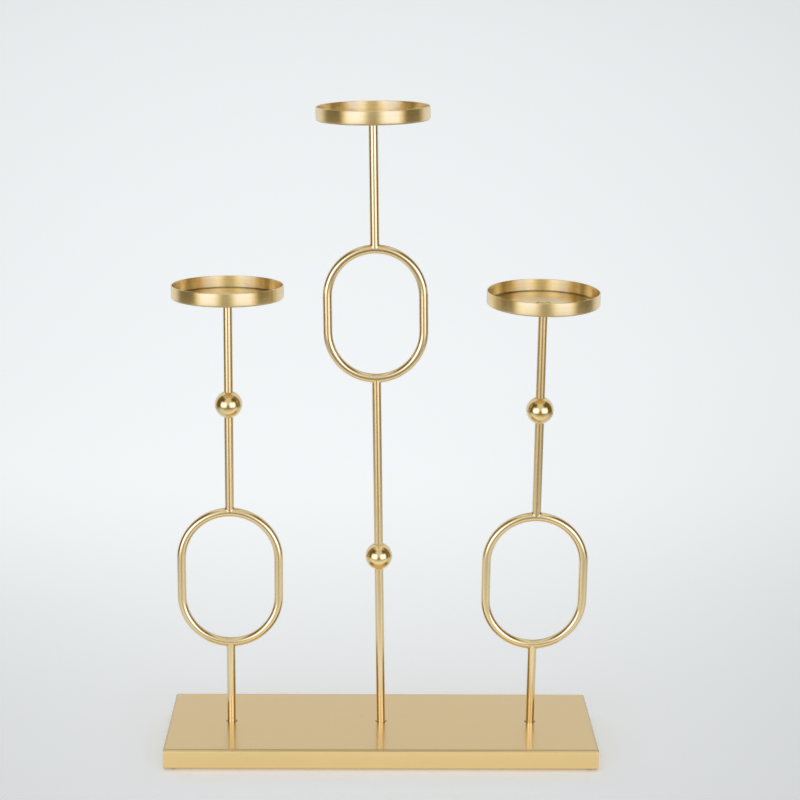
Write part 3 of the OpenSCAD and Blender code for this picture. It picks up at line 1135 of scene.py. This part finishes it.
def floor_material(stage):
    """Pale floor that is part lit, so that it takes shadows, and part glowing. Painted warm light
    lies under the front of the base, for the light its gold front throws, and painted warm light
    that only glossy rays see lies in front of it. Glossy surfaces see past the floor into the
    studio, in front and far to the sides."""
    material, nodes = new_material("pale_floor")
    x, y, _ = nodes.parts(nodes.object_place())
    radius = nodes.math("SQRT", x * x + y * y)
    path = nodes.add("ShaderNodeLightPath")
    mirrored = Field(nodes, path.outputs["Is Glossy Ray"])
    shown = nodes.math("MAXIMUM", Field(nodes, path.outputs["Is Camera Ray"]), mirrored)

    lit_tint = [stage.lit * part / light for part, light in zip(stage.floor, stage.open_light)]
    lit = nodes.add("ShaderNodeBsdfDiffuse", None, {"Color": rgba(lit_tint)}).outputs[0]
    mirrored_dark = 1.0 - 0.6 * mirrored * abs(x).rise(0.3, 0.9)
    bright = floor_level(nodes, stage, x, y, radius) * mirrored_dark
    under_front = (-y).band(0, 50 * MM, 52 * MM, 66 * MM) * abs(x).fall(140 * MM, 160 * MM)
    in_front = (-y).band(85 * MM, 110 * MM, 125 * MM, 250 * MM)
    pale = lit
    # Glows: the floor's own pale glow, painted warm light under the base's front, and painted warm
    # light in front of it that only mirrors show
    for colour, strength in (
        (stage.floor, shown * (bright - stage.lit)),
        ((1.0, 0.55, 0.0), 0.11 * shown * under_front),
        ((1.0, 0.8, 0.7), 0.3 * mirrored * in_front),
    ):
        glow = nodes.glow("ShaderNodeEmission", rgba(colour), strength)
        pale = nodes.add("ShaderNodeAddShader", None, {0: pale, 1: glow}).outputs[0]

    clear = nodes.add("ShaderNodeBsdfTransparent").outputs[0]
    under = Field(nodes, nodes.add("ShaderNodeNewGeometry").outputs["Backfacing"])
    past_edge = nodes.math("MAXIMUM", (-y).rise(0.18, 0.6), radius.rise(0.8, 1.2))
    through = nodes.math("MAXIMUM", under, mirrored * past_edge)
    nodes.surface(nodes.mixed(through, pale, clear))
    return material


class HOLDER_OT_stage(bpy.types.Operator):
    """Sets up the pale floor, the studio's light and the camera"""

    bl_idname = "holder.stage"
    bl_label = "Studio"

    def execute(self, context):
        stage = context.scene.holder_stage
        scene = context.scene
        scene.view_settings.view_transform = "Standard"
        studio_world(stage)

        floor_reach = 20
        bm = bmesh.new()
        bmesh.ops.create_grid(bm, x_segments=1, y_segments=1, size=floor_reach)
        mesh = bpy.data.meshes.new("studio_floor")
        bm.to_mesh(mesh)
        bm.free()
        mesh.materials.append(floor_material(stage))
        floor = bpy.data.objects.new("studio_floor", mesh)
        scene.collection.objects.link(floor)

        data = bpy.data.cameras.new("studio_camera")
        data.lens = stage.lens
        data.sensor_width = 36
        data.clip_start = 0.05
        data.clip_end = 100
        camera = bpy.data.objects.new("studio_camera", data)
        camera.matrix_world = (
            at(-stage.beside, -stage.back, stage.high)
            @ Matrix.Rotation(-stage.turn, 4, "Z")
            @ Matrix.Rotation(math.pi / 2 - stage.tip, 4, "X")
            @ Matrix.Rotation(stage.roll, 4, "Z")
        )
        scene.collection.objects.link(camera)
        scene.camera = camera
        return {"FINISHED"}


OPERATORS = (
    HOLDER_OT_base_case,
    HOLDER_OT_base_pads,
    HOLDER_OT_foot_fixings,
    HOLDER_OT_rods,
    HOLDER_OT_rings,
    HOLDER_OT_welds,
    HOLDER_OT_beads,
    HOLDER_OT_trays,
    HOLDER_OT_tray_screws,
    HOLDER_OT_stage,
)

SETTINGS = {
    "holder_base": BaseSettings,
    "holder_arm": ArmSettings,
    "holder_tray": TraySettings,
    "holder_screw": ScrewSettings,
    "holder_stage": StageSettings,
}


class HOLDER_PT_panel(bpy.types.Panel):
    """Sizes, colours and pieces of the candle holder"""

    bl_idname = "HOLDER_PT_panel"
    bl_label = "Candle Holder"
    bl_space_type = "VIEW_3D"
    bl_region_type = "UI"
    bl_category = "Candle Holder"

    def draw(self, context):
        for group in SETTINGS:
            box = self.layout.box()
            settings = getattr(context.scene, group)
            for name in SETTINGS[group].__annotations__:
                box.prop(settings, name)
        for operator in OPERATORS:
            self.layout.operator(operator.bl_idname)


def register():
    for name, group in SETTINGS.items():
        bpy.utils.register_class(group)
        setattr(bpy.types.Scene, name, bpy.props.PointerProperty(type=group))
    for operator in OPERATORS:
        bpy.utils.register_class(operator)
    bpy.utils.register_class(HOLDER_PT_panel)


def unregister():
    bpy.utils.unregister_class(HOLDER_PT_panel)
    for operator in reversed(OPERATORS):
        bpy.utils.unregister_class(operator)
    for name, group in SETTINGS.items():
        delattr(bpy.types.Scene, name)
        bpy.utils.unregister_class(group)


def main():
    register()
    for operator in OPERATORS:
        getattr(bpy.ops.holder, operator.bl_idname.split(".")[1])()


if __name__ == "__main__":
    main()
